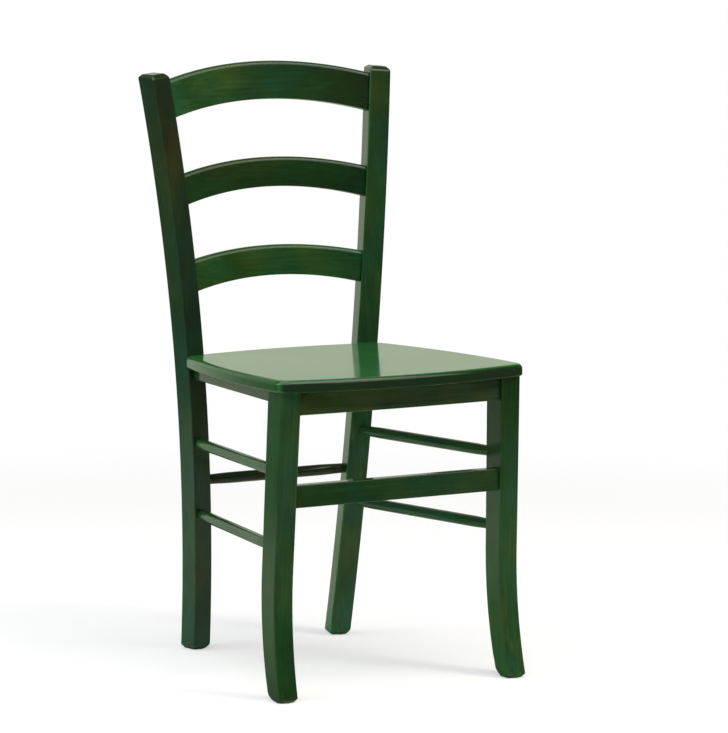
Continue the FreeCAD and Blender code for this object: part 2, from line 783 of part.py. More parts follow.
for tier, at in slatPlaces.items():
    name = tier + "_slat"

    def planPoint(sign, across, straight):
        # a corner of the bent board seen from above, at its arc's end or its tenon's end
        offset = "(%s_radius %s slat_thickness / 2)" % (name, sign)
        x = offset + " * sin(post_turn)"
        y = "%s * cos(post_turn) - %s_radius" % (offset, name)
        if straight:
            x += " + slat_tenon * cos(post_turn)"
            y += " - slat_tenon * sin(post_turn)"
        return ("%s(%s)" % ("-" if across < 0 else "", x), y)

    body = newBody(name + "_blank", at.frame)
    plan = newSketch(body, "XY_Plane")
    closedLoop(plan, [planPoint("-", -1, True), planPoint("-", -1, False),
                      planPoint("-", 1, False), planPoint("-", 1, True),
                      planPoint("+", 1, True), planPoint("+", 1, False),
                      planPoint("+", -1, False), planPoint("+", -1, True)],
               {1: ("0", "-slat_thickness / 2"), 5: ("0", "slat_thickness / 2")})
    pad(body, plan, "2 * {0}_height + slat_thickness".format(name))
    outline = newSketch(body, "XZ_Plane")
    edge = "({0}_height + slat_thickness)".format(name)
    crown = "{0}_height - {0}_crown_drop".format(name)
    under = "-{0}_under_drop".format(name)
    wide = name + "_reach"
    closedLoop(outline, [("-" + wide, crown), (wide, crown), (wide, edge), ("-" + wide, edge)],
               {0: ("0", name + "_height")})
    closedLoop(outline, [("-" + wide, under), (wide, under), (wide, "-" + edge), ("-" + wide, "-" + edge)],
               {0: ("0", "0")})
    cutThrough(body, outline)

    def along(front, upper):
        # picks one of the four long edges of the bent part
        def wanted(edge):
            rings = [math.hypot(vertex.X, vertex.Y + at.radius) for vertex in edge.Vertexes]
            fore = sum(rings) / len(rings) < at.radius
            high = edge.CenterOfMass.z > (at.height - at.rise) / 2
            return edge.Length > at.end.x and high == upper and fore == front
        return wanted

    roundOff(body, "slat_front_round", along(True, True))
    roundOff(body, "slat_back_round", along(False, True))
    roundOff(body, "slat_under_round", along(True, False))
    roundOff(body, "slat_under_round", along(False, False))

    shoulders = []
    for word, side in sides.items():
        tip = Vector(side * at.end.x, at.end.y, at.end.z)
        face = Placement(tip, (postFrame(side) * facingIn(side)).Rotation)
        bend = -s.post_turn if side > 0 else 180 + s.post_turn
        tenonFrame = Placement(tip, (at.frame * turned(zAxis, bend)).Rotation)
        shoulders.append(joint("%s_%s" % (name, word), "rear_post_" + word, face, tenonFrame, "slat_tenon",
                               "slat_tenon_thickness", name + "_end_height - 2 * slat_shoulder"))
    keep("back_slat_" + tier, cutBy(name, body, shoulders))

# Corner blocks, and the screws that run up through them into the board

screws = []
pilots = []
for end, points in blockShapes.items():
    spot = [sum(points[letters.index(letter)][axis] for letter in "bce") / 3 for axis in (0, 1)]
    for word, side in sides.items():
        node = "corner_block_%s_%s" % (end, word)
        body = newBody(node + "_blank", seatFrame * shifted(0, 0, -s.block_height / 2))
        sketch = newSketch(body, "XY_Plane")
        sign = "-" if side < 0 else ""
        corners = [("%s%s_block_across_%s" % (sign, end, letter), "%s_block_along_%s" % (end, letter))
                   for letter in letters]
        closedLoop(sketch, corners, {})
        pad(body, sketch, "block_height")
        under = seatFrame * shifted(side * spot[0], spot[1], -s.block_height)
        hole = rodCutter(node + "_hole", under, "screw_radius + screw_gap", "block_height")
        keep(node, cutBy(node, body, [hole]))
        pilots.append(rodCutter(node + "_pilot", under * shifted(0, 0, s.block_height),
                                "screw_radius + screw_gap", "screw_length - block_height + end_gap"))
        head = rodCutter(node + "_screw_head", under * shifted(0, 0, -s.screw_head_height),
                         "screw_head_radius", "screw_head_height")
        shank = rodCutter(node + "_screw_shank", under, "screw_radius", "screw_length - screw_tip")
        point = doc.addObject("Part::Cone", node + "_screw_point")
        point.setExpression("Radius1", bound("screw_radius"))
        point.Radius2 = 0
        point.setExpression("Height", bound("screw_tip"))
        point.Placement = under * shifted(0, 0, s.screw_length - s.screw_tip)
        screw = doc.addObject("Part::MultiFuse", node + "_screw")
        screw.Shapes = [head, shank, point]
        screws.append(screw)

screwSet = doc.addObject("Part::Compound", "screw_set")
screwSet.Links = screws
keep("seat_screws", screwSet)

# Seat board

body = newBody("seat_blank", seatFrame * shifted(0, 0, s.seat_thickness / 2))
sketch = newSketch(body, "XY_Plane")
closedLoop(sketch, [
    ("seat_rear_half", "-seat_rear_drop"),
    ("seat_front_half", "seat_front_bow - seat_depth"),
    ("-seat_front_half", "seat_front_bow - seat_depth"),
    ("-seat_rear_half", "-seat_rear_drop")],
    {0: ("seat_side_middle", "-seat_side_place / 2"),
     1: ("0", "-seat_depth"),
     2: ("-seat_side_middle", "-seat_side_place / 2"),
     3: ("0", "0")})
pad(body, sketch, "seat_thickness")


def frontCorner(edge):
    return lengthwise(edge) and edge.CenterOfMass.y < -s.seat_depth / 2


def rearCorner(edge):
    return lengthwise(edge) and edge.CenterOfMass.y > -s.seat_depth / 2


roundOff(body, "seat_front_corner", frontCorner)
roundOff(body, "seat_rear_corner", rearCorner)
roundOff(body, "seat_top_round", level(s.seat_thickness / 2))
roundOff(body, "seat_under_round", level(-s.seat_thickness / 2))
keep("seat_panel", cutBy("seat", body, pilots))

# Legs and posts are trimmed to the floor and to the board, then mortised

ground = boxCutter("ground", turned(yAxis, 90), "trim_size", "trim_size", "trim_size")
board = boxCutter("board_space", seatFrame * shifted(0, -s.seat_depth / 2) * turned(yAxis, -90),
                  "trim_size", "trim_size", "trim_size")


def ballCutter(name, frame, ballRadius, height):
    # a ring round a ball, whose middle is at the frame: it eases the corners of an end that
    # stands out along z more than its faces
    ring = rodCutter(name + "_ring", frame, "ball_ring_radius", height)
    ball = doc.addObject("Part::Sphere", name + "_ball")
    ball.setExpression("Radius", bound(ballRadius))
    ball.Placement = frame
    return cutBy(name, ring, [ball])


def footPlace(node, side):
    if node.startswith("front_leg"):
        return legFrame(side).multVec(Vector(0, s.leg_depth_foot / 2 - s.leg_front_foot, 0))
    return postFrame(side).multVec(Vector(0, postCentre(0), 0))


for node, blank in blanks.items():
    side = sides[node.split("_")[-1]]
    cutters = [ground] + mortises[node]
    if node.startswith("front_leg"):
        cutters.append(board)
    stand = footPlace(node, side)
    print("%-28s stands at %.1f, %.1f" % (node, stand.x, stand.y))
    footFrame = shifted(stand.x, stand.y, s.foot_ball_height) * turned(xAxis, 180)
    eased = cutBy(node + "_footed", cutBy(node + "_trimmed", blank, cutters),
                  [ballCutter(node + "_foot", footFrame, "foot_ball_radius", "foot_ball_height + foot_spare")])
    if node.startswith("rear_post"):
        topFrame = postFrame(side) * shifted(0, postCentre(s.post_length), s.post_length - s.top_ball_drop)
        eased = cutBy(node, eased, [ballCutter(node + "_top", topFrame, "top_ball_radius",
                                               "top_ball_drop + foot_spare")])
    keep(node, eased)
doc.recompute()

# Every object is checked before anything is written

for item in doc.Objects:
    if "Invalid" in item.State or "Error" in item.State:
        raise RuntimeError("%s failed: %s" % (item.Label, item.State))
for node, item in nodes.items():
    shape = item.Shape
    if shape.isNull() or not shape.isValid() or not shape.Solids:
        raise RuntimeError("%s has no valid shape" % node)
    print("%-28s %2d solids %10.0f mm3" % (node, len(shape.Solids), shape.Volume))
    shape.exportStep("parts/%s.step" % node)
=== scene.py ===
import math
import bmesh
import bpy
from mathutils import Matrix, Quaternion, Vector


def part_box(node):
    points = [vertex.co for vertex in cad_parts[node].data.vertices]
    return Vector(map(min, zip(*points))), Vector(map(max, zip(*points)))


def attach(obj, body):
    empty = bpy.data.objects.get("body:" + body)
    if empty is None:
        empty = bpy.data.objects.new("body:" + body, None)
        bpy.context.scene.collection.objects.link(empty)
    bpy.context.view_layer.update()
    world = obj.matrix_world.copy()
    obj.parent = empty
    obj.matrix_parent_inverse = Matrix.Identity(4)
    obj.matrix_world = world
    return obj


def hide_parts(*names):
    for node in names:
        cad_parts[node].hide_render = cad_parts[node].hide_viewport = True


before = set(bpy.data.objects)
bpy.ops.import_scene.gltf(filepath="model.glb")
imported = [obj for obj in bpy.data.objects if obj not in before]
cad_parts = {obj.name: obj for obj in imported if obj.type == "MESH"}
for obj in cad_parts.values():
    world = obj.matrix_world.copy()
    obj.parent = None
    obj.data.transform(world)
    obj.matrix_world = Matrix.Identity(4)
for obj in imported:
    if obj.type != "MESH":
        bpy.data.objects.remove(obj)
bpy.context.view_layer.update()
print("frame loaded with", len(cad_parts), "nodes")

perMetre = 1000   # millimetres


def toLinear(hexColour):
    channels = [int(hexColour[i:i + 2], 16) / 255 for i in (1, 3, 5)]
    return [c / 12.92 if c <= 0.04045 else ((c + 0.055) / 1.055) ** 2.4 for c in channels] + [1.0]


def addNode(tree, kind, inputs=None, **settings):
    node = tree.nodes.new(kind)
    for key, value in settings.items():
        setattr(node, key, value)
    for socket, value in (inputs or {}).items():
        if isinstance(value, bpy.types.NodeSocket):
            tree.links.new(value, node.inputs[socket])
        else:
            node.inputs[socket].default_value = value
    return node


def newMaterial(name):
    material = bpy.data.materials.new(name)
    material.use_nodes = True
    material.node_tree.nodes.clear()
    return material, material.node_tree


# Beech, planed and sanded, dipped in a deep green stain and sprayed with clear lacquer

stainedBeech = {
    "deep": "#10350E",        # stain in the soft, open bands of the grain
    "middle": "#163F16",
    "thin": "#1E4A1C",        # where the wood took less of it
    "olive": "#2F4614",       # clouds that stay warmer
    "teal": "#0B4429",        # clouds that turn bluer
    "arrisWearAndPaintedLight": "#3A6E33",        # tone that the arrises lean to: partly where sanding thinned the stain, partly a painted highlight along them
    "endGrain": "#16230D",    # ends of the fibres drink more stain
    "fleckTone": "#2A2E14",   # ray flecks stay brownish
    "arrisWearAndLightShare": 0.15,             # how far the arrises lean to that tone, 0 to 1
    "arrisUneven": 0.16,       # how raggedly that follows the grain
    "endGrainShare": 0.9,     # how far the ends lean to their tone
    "hueShare": 0.4,          # and the clouds to theirs
    "hueLean": 0.16,          # how much a warm piece favours olive over teal
    "fleckShare": 0.55,
    "cloudDepth": (0.80, 1.22),   # darkest and lightest cloud, as a share
    # levels of each noise, 0 to 1, at which its tone comes in and is full
    "bandPlaces": (0.28, 0.5, 0.74),  # here of the deep, middle and thin stain
    "oliveWithin": (0.50, 0.66),
    "tealWithin": (0.50, 0.36),
    "fleckWithin": (0.60, 0.74),
    "cloudWithin": (0.3, 0.7),        # here of the darkest and the lightest cloud
    # how squarely a face lies to the piece, 1 for squarely, where its tone comes in and is full
    "sideWithin": (0.85, 0.98),
    "arrisWithin": (0.98, 0.84),
    "endWithin": (0.5, 0.85),
    "ringSpacing": 4.0,       # mm across the grain
    "ringLength": 130.0,      # mm along it
    "cloud": 52.0,            # mm, from one cloud of stain to the next
    "cloudLength": 85.0,      # mm along the grain
    "hueWider": 1.1,          # times as wide are the clouds of hue
    "fleck": 1.6,             # mm, drawn twice as coarse as real ray flecks so that they show
    "fleckLonger": 7,         # times as long as wide
    "fleckInRelief": 0.5,     # how deep a fleck lies, as a share of the bands
    "orangePeel": 5.0,        # mm, ripple of the sprayed lacquer
    "poreRelief": (0.3, 0.0002),      # strength, and depth in metres
    "lacquerRelief": (0.10, 0.0003),
    "woodRoughness": (0.4, 0.6),
    "lacquerRoughness": 0.08,
    "refraction": 1.5,
    "woodShine": 0.1,         # low, since the lacquer gives the gloss
}
plainTint = (1, 1, 1)


def beechUnderStain(name, along, centre, turn=0.0, warm=0.5, endTintsWithPaintedLight=(plainTint, plainTint),
                    sides=plainTint, reach=0.15, seed=0.0, values=stainedBeech):
    # to the eye: soft clouds of warmer and bluer green, faint long bands and small flecks under a
    # wet gloss. Tints: a factor on the stain at either end of the piece, and one on its side faces;
    # they hold painted light and shade as well as the stain's own variation
    material, tree = newMaterial(name)
    place = addNode(tree, "ShaderNodeTexCoord")
    toGrain = Vector(along).normalized().rotation_difference(Vector((0, 0, 1)))
    turnTo = (Quaternion((0, 0, 1), math.radians(turn)) @ toGrain).to_euler()
    moved = addNode(tree, "ShaderNodeVectorMath", {0: place.outputs["Object"], 1: Vector(centre)},
                    operation="SUBTRACT")
    grain = addNode(tree, "ShaderNodeMapping", {"Vector": moved.outputs[0], "Rotation": turnTo})
    faces = addNode(tree, "ShaderNodeMapping", {"Vector": place.outputs["Normal"], "Rotation": turnTo},
                    vector_type="NORMAL")

    def noise(across, lengthwise, offset, detail, roughness=0.5, distortion=0.0):
        stretched = addNode(tree, "ShaderNodeMapping", {
            "Vector": grain.outputs[0], "Location": (offset, seed, offset * 1.7),
            "Scale": (perMetre / across, perMetre / across, perMetre / lengthwise)})
        return addNode(tree, "ShaderNodeTexNoise", {
            "Vector": stretched.outputs[0], "Scale": 1.0, "Detail": detail, "Roughness": roughness,
            "Distortion": distortion}).outputs["Fac"]

    def ranged(value, low, high, toLow, toHigh):
        return addNode(tree, "ShaderNodeMapRange", {"Value": value, "From Min": low, "From Max": high,
                                                    "To Min": toLow, "To Max": toHigh}).outputs[0]

    def mixed(factor, first, second):
        return addNode(tree, "ShaderNodeMix", {"Factor": factor, 6: first, 7: toLinear(second)},
                       data_type="RGBA").outputs[2]

    rings = noise(values["ringSpacing"], values["ringLength"], offset=1.3, detail=3.0, roughness=0.55,
                  distortion=0.4)
    clouds = noise(values["cloud"], values["cloudLength"], offset=4.1, detail=2.0)
    hues = noise(values["cloud"] * values["hueWider"], values["cloudLength"], offset=9.7, detail=1.0,
                 roughness=0.4)
    flecks = noise(values["fleck"], values["fleck"] * values["fleckLonger"], offset=2.9, detail=2.0,
                   roughness=0.6)
    peel = addNode(tree, "ShaderNodeTexNoise", {
        "Vector": place.outputs["Object"], "Scale": perMetre / values["orangePeel"],
        "Detail": 1.0, "Roughness": 0.4}).outputs["Fac"]

    bands = addNode(tree, "ShaderNodeValToRGB", {"Fac": rings})
    ramp = bands.color_ramp
    deepAt, middleAt, thinAt = values["bandPlaces"]
    ramp.elements[0].position, ramp.elements[0].color = deepAt, toLinear(values["deep"])
    ramp.elements[1].position, ramp.elements[1].color = thinAt, toLinear(values["thin"])
    ramp.elements.new(middleAt).color = toLinear(values["middle"])

    lean = values["hueLean"] * (warm - 0.5)
    olive = ranged(hues, *(level - lean for level in values["oliveWithin"]), 0.0, values["hueShare"])
    teal = ranged(hues, *(level - lean for level in values["tealWithin"]), 0.0, values["hueShare"])
    flecked = ranged(flecks, *values["fleckWithin"], 0.0, values["fleckShare"])
    tinted = mixed(olive, bands.outputs["Color"], values["olive"])
    tinted = mixed(teal, tinted, values["teal"])
    tinted = mixed(flecked, tinted, values["fleckTone"])
    upright = addNode(tree, "ShaderNodeVectorMath", {0: faces.outputs[0]}, operation="ABSOLUTE")
    parts = addNode(tree, "ShaderNodeSeparateXYZ", {0: upright.outputs[0]})

    # the tone drifts from end to end, and differs on the side faces: partly the stain's own variation,
    # partly painted light and shade where light falls unevenly along a piece and on its sides
    lengthwise = addNode(tree, "ShaderNodeSeparateXYZ", {0: grain.outputs[0]}).outputs[2]
    drifting = addNode(tree, "ShaderNodeMix", {
        "Factor": ranged(lengthwise, -reach, reach, 0.0, 1.0), 4: endTintsWithPaintedLight[0], 5: endTintsWithPaintedLight[1]},
        data_type="VECTOR").outputs[1]
    cut = addNode(tree, "ShaderNodeMix", {
        "Factor": ranged(parts.outputs[0], *values["sideWithin"], 0.0, 1.0), 4: plainTint, 5: sides},
        data_type="VECTOR").outputs[1]
    taken = addNode(tree, "ShaderNodeVectorMath", {0: drifting, 1: cut}, operation="MULTIPLY").outputs[0]
    drifted = addNode(tree, "ShaderNodeVectorMath", {0: tinted, 1: taken}, operation="MULTIPLY").outputs[0]
    cloudy = ranged(clouds, *values["cloudWithin"], *values["cloudDepth"])
    shaded = addNode(tree, "ShaderNodeVectorMath", {0: drifted, "Scale": cloudy}, operation="SCALE")

    # an arris is where the face turns away from all three directions of the piece
    larger = addNode(tree, "ShaderNodeMath", {0: parts.outputs[0], 1: parts.outputs[1]},
                     operation="MAXIMUM")
    largest = addNode(tree, "ShaderNodeMath", {0: larger.outputs[0], 1: parts.outputs[2]},
                      operation="MAXIMUM")
    ragged = addNode(tree, "ShaderNodeMath", {0: rings, 1: values["arrisUneven"], 2: largest.outputs[0]},
                     operation="MULTIPLY_ADD")
    arris = ranged(ragged.outputs[0], *values["arrisWithin"], 0.0, values["arrisWearAndLightShare"])
    ends = ranged(parts.outputs[2], *values["endWithin"], 0.0, values["endGrainShare"])
    arrisWearAndPaintedLight = mixed(arris, shaded.outputs[0], values["arrisWearAndPaintedLight"])
    colour = mixed(ends, arrisWearAndPaintedLight, values["endGrain"])

    pores = addNode(tree, "ShaderNodeMath", {0: flecks, 1: values["fleckInRelief"], 2: rings},
                    operation="MULTIPLY_ADD")

    def bumped(height, strengthAndDepth):
        strength, depth = strengthAndDepth
        return addNode(tree, "ShaderNodeBump", {"Strength": strength, "Distance": depth,
                                                "Height": height}).outputs[0]

    relief = bumped(pores.outputs[0], values["poreRelief"])
    ripple = bumped(peel, values["lacquerRelief"])
    wood = addNode(tree, "ShaderNodeBsdfPrincipled", {
        "Base Color": colour, "Roughness": ranged(rings, 0.0, 1.0, *values["woodRoughness"]),
        "IOR": values["refraction"], "Specular IOR Level": values["woodShine"], "Coat Weight": 1.0,
        "Coat Roughness": values["lacquerRoughness"], "Coat IOR": values["refraction"],
        "Normal": relief, "Coat Normal": ripple})
    addNode(tree, "ShaderNodeOutputMaterial", {"Surface": wood.outputs[0]})
    return material


# Pieces: dressed surfaces in the place of the solids, with the soft shading of a lacquered piece

shading = {
    "sharpAngle": 32,        # degrees, from which an edge stays crisp
    "loftSharpAngle": 50,    # the lofts' eased corners are coarser
    "evenedWeight": 90,
    "mergeWithin": 2e-6,     # metres, for the solids' loose triangles
}


def dressed(mesh, node, material, sharpAngle=shading["sharpAngle"]):
    mesh.materials.clear()
    mesh.materials.append(material)
    mesh.shade_smooth()
    mesh.set_sharp_from_angle(angle=math.radians(sharpAngle))
    piece = bpy.data.objects.new(node + "_finished", mesh)
    bpy.context.scene.collection.objects.link(piece)
    evened = piece.modifiers.new("evenedNormals", "WEIGHTED_NORMAL")
    evened.keep_sharp = True
    evened.weight = shading["evenedWeight"]
    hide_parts(node)
    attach(piece, "root")


def finished(node, material):
    # the solid's own surface, merged
    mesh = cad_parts[node].data.copy()
    work = bmesh.new()
    work.from_mesh(mesh)
    bmesh.ops.remove_doubles(work, verts=work.verts, dist=shading["mergeWithin"])
    work.to_mesh(mesh)
    work.free()
    dressed(mesh, node, material)


# Curved posts and swept legs are made again in even rings without their mortises, which the
# tenons fill, so that the gloss runs clean past every joint. They are made in millimetres

postShape = {
    "baseHalf": 118.8,
    "baseRear": 184.5,
    "turn": 13.0,              # degrees inward
    "splay": 4.25,             # degrees outward
    "length": 883.5,
    "width": 33.0,
    "arris": 2.5,
    "depths": ((-14.0, 32.6), (440.0, 33.6), (883.5, 36.6)),
    "forwardHeight": 368.0,    # where the curve stands furthest forward
    "bendRadius": 2744.0,
    "topRound": 2.2,
    "padRadius": 14.5,
    "ballHeight": 24.0,
    "topPadRadius": 15.8,
    "topBallDrop": 30.0,
}
legShape = {
    "baseHalf": 193.2,
    "splay": -1.16,
    "width": 31.2,
    "arris": 2.5,
    "topHeight": 460.0,
    "bendHeight": 190.0,
    "fronts": (-204.02, -192.32, -216.42),   # top, bend and foot
    "depths": (45.4, 41.6, 36.8),
    "padRadius": 14.5,
    "ballHeight": 24.0,
    "boardTilt": 1.6,
}
loftSteps = {
    "spare": 14.0,           # below the floor, to be cut off
    "fine": 0.8,             # from ring to ring near an end
    "fineReach": 12.0,
    "coarse": 10.0,          # and elsewhere
    "seam": 1e-4,            # within which corners are one
    "onPlane": 1e-6,         # and within which they lie on a cut
    "arrisSegments": 4,
    "topSegments": 3,
    "capRings": 10,          # rings across an end, and how much each one shrinks
    "capStep": 0.94,
    "blend": 0.6,            # over which the ball's edge softens
    "alongEdge": 0.1,        # an edge that climbs more than this runs along the bar
    "askew": (0.31, 0.73, 1.0),    # direction along which the faces are put in order
}


def arcThrough(first, middle, last):
    # depth of the arc through three places (depth, height), at any height
    (ax, ay), (bx, by), (cx, cy) = first, middle, last
    twice = 2 * (ax * (by - cy) + bx * (cy - ay) + cx * (ay - by))
    a, b, c = ax * ax + ay * ay, bx * bx + by * by, cx * cx + cy * cy
    x = (a * (by - cy) + b * (cy - ay) + c * (ay - by)) / twice
    y = (a * (cx - bx) + b * (ax - cx) + c * (bx - ax)) / twice
    radius = math.hypot(ax - x, ay - y)
    return lambda height: x + math.copysign(math.sqrt(radius ** 2 - (height - y) ** 2), bx - x)


def postFace(sign):
    places = []
    for height, depth in postShape["depths"]:
        sag = (height - postShape["forwardHeight"]) ** 2 / (2 * postShape["bendRadius"])
        places.append((sag + sign * depth / 2, height))
    return arcThrough(*places)


def legFace(offsets):
    # straight from the top to the bend, and from there an arc that leaves it smoothly
    heights = (legShape["topHeight"], legShape["bendHeight"], 0.0)
    top, bend, foot = (Vector((front + offset, height)) for front, offset, height
                       in zip(legShape["fronts"], offsets, heights))
    run = (bend - top).normalized()
    forward = Vector((run.y, -run.x))
    chord = foot - bend
    radius = chord.length_squared / (2 * chord.dot(forward))
    centre = bend + forward * radius

    def depthAt(height):
        if height > bend.y:
            return bend.x + (top.x - bend.x) * (height - bend.y) / (top.y - bend.y)
        return centre.x + math.sqrt(radius ** 2 - (height - centre.y) ** 2)

    return depthAt


def ringHeights(end, fineTop):
    heights = [-loftSteps["spare"]]
    reach, fine = loftSteps["fineReach"], loftSteps["fine"]
    heights += [k * fine for k in range(int(reach / fine))]
    last = end - reach if fineTop else end
    count = round((last - reach) / loftSteps["coarse"])
    heights += [reach + (last - reach) * k / count for k in range(count + 1)]
    if fineTop:
        heights += [end - reach + fine * k for k in range(1, int(reach / fine) + 1)]
    return heights


def lofted(frontFace, rearFace, width, arris, heights):
    # a grid rolled up to a bar, one row of it to each height, with its four long edges rounded.
    # Extruded ring by ring, its faces would lie in an order that varies from run to run
    work = bmesh.new()
    around, rows = 4, len(heights) - 1
    bmesh.ops.create_grid(work, x_segments=around, y_segments=rows, size=1.0)
    for corner in work.verts:
        column = round((corner.co.x + 1) / 2 * around) % around
        height = heights[round((corner.co.y + 1) / 2 * rows)]
        across = width / 2 if column in (0, 1) else -width / 2
        corner.co = (across, frontFace(height) if column in (1, 2) else rearFace(height), height)
    bmesh.ops.remove_doubles(work, verts=work.verts, dist=loftSteps["seam"])
    bmesh.ops.holes_fill(work, edges=[edge for edge in work.edges if edge.is_boundary], sides=around)
    bmesh.ops.recalc_face_normals(work, faces=work.faces)
    edges = [edge for edge in work.edges
             if abs(edge.verts[0].co.z - edge.verts[1].co.z) > loftSteps["alongEdge"]]
    bmesh.ops.bevel(work, geom=edges, offset=arris, offset_type="OFFSET", affect="EDGES",
                    segments=loftSteps["arrisSegments"], profile=0.5, material=-1)
    return work


def trimmed(work, place, outward):
    # cuts off what lies outward of a plane, closes the cut and returns it
    bmesh.ops.bisect_plane(work, geom=work.verts[:] + work.edges[:] + work.faces[:],
                           dist=loftSteps["onPlane"], plane_co=place, plane_no=outward, clear_outer=True)
    rim = [edge for edge in work.edges if edge.is_boundary]
    return bmesh.ops.contextual_create(work, geom=rim)["faces"]


def eased(work, cap, centre, outward, radius):
    # draws the end in to a ball, softly, so that its corners give way more than its faces
    for _ in range(loftSteps["capRings"]):
        cap = bmesh.ops.extrude_discrete_faces(work, faces=cap)["faces"]
        middle = cap[0].calc_center_median()
        bmesh.ops.scale(work, vec=[loftSteps["capStep"]] * 3, space=Matrix.Translation(-middle),
                        verts=cap[0].verts)
    for vertex in work.verts:
        arm = vertex.co - centre
        if arm.dot(outward) > 0:
            near = max(loftSteps["blend"] - abs(arm.length - radius), 0) / loftSteps["blend"]
            reach = min(arm.length, radius) - near * near * loftSteps["blend"] / 4
            vertex.co = centre + arm * (reach / arm.length)


def closedMesh(work, name):
    # from millimetres to metres, with its faces sorted, because their order varies after a bevel
    bmesh.ops.scale(work, vec=[1 / perMetre] * 3, verts=work.verts)
    bmesh.ops.recalc_face_normals(work, faces=work.faces)
    askew = Vector(loftSteps["askew"])
    work.faces.sort(key=lambda face: face.calc_center_median().dot(askew))
    mesh = bpy.data.meshes.new(name)
    work.to_mesh(mesh)
    work.free()
    return mesh


def makePost(side):
    facts = postShape
    work = lofted(postFace(-1), postFace(1), facts["width"], facts["arris"],
                  ringHeights(facts["length"], True))
    top = max(work.faces, key=lambda face: face.calc_center_median().z)
    bmesh.ops.bevel(work, geom=top.edges[:], offset=facts["topRound"], offset_type="OFFSET",
                    affect="EDGES", segments=loftSteps["topSegments"], profile=0.5, material=-1)
    cap = [max(work.faces, key=lambda face: face.calc_center_median().z)]

    def centreAt(height):
        return Vector((0, (postFace(-1)(height) + postFace(1)(height)) / 2, height))

    crown = centreAt(facts["length"]) - Vector((0, 0, facts["topBallDrop"]))
    eased(work, cap, crown, Vector((0, 0, 1)), math.hypot(facts["topPadRadius"], facts["topBallDrop"]))
    stand = (Matrix.Translation((side * facts["baseHalf"], facts["baseRear"], 0))
             @ Matrix.Rotation(math.radians(-side * facts["turn"]), 4, "Z")
             @ Matrix.Rotation(math.radians(side * facts["splay"]), 4, "Y"))
    bmesh.ops.transform(work, matrix=stand, verts=work.verts)
    sole = trimmed(work, (0, 0, 0), (0, 0, -1))
    foot = stand @ centreAt(0.0)
    eased(work, sole, Vector((foot.x, foot.y, facts["ballHeight"])), Vector((0, 0, -1)),
          math.hypot(facts["padRadius"], facts["ballHeight"]))
    return closedMesh(work, "rear_post")


def makeLeg(side, node):
    facts = legShape
    work = lofted(legFace((0, 0, 0)), legFace(facts["depths"]), facts["width"], facts["arris"],
                  ringHeights(facts["topHeight"], False))
    stand = (Matrix.Translation((side * facts["baseHalf"], 0, 0))
             @ Matrix.Rotation(math.radians(side * facts["splay"]), 4, "Y"))
    bmesh.ops.transform(work, matrix=stand, verts=work.verts)
    # the board lies on the leg, a little tilted
    tilt = math.radians(facts["boardTilt"])
    underBoard = Vector((0, facts["fronts"][0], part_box(node)[1].z * perMetre))
    trimmed(work, underBoard, (0, math.sin(tilt), math.cos(tilt)))
    sole = trimmed(work, (0, 0, 0), (0, 0, -1))
    foot = stand @ Vector((0, facts["fronts"][2] + facts["depths"][2] / 2, 0))
    eased(work, sole, Vector((foot.x, foot.y, facts["ballHeight"])), Vector((0, 0, -1)),
          math.hypot(facts["padRadius"], facts["ballHeight"]))
    return closedMesh(work, "front_leg")


def middleOf(node):
    low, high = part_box(node)
    return (low + high) / 2


def reachOf(node):
    # half the longest side
    low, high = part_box(node)
    return max(high - low) / 2


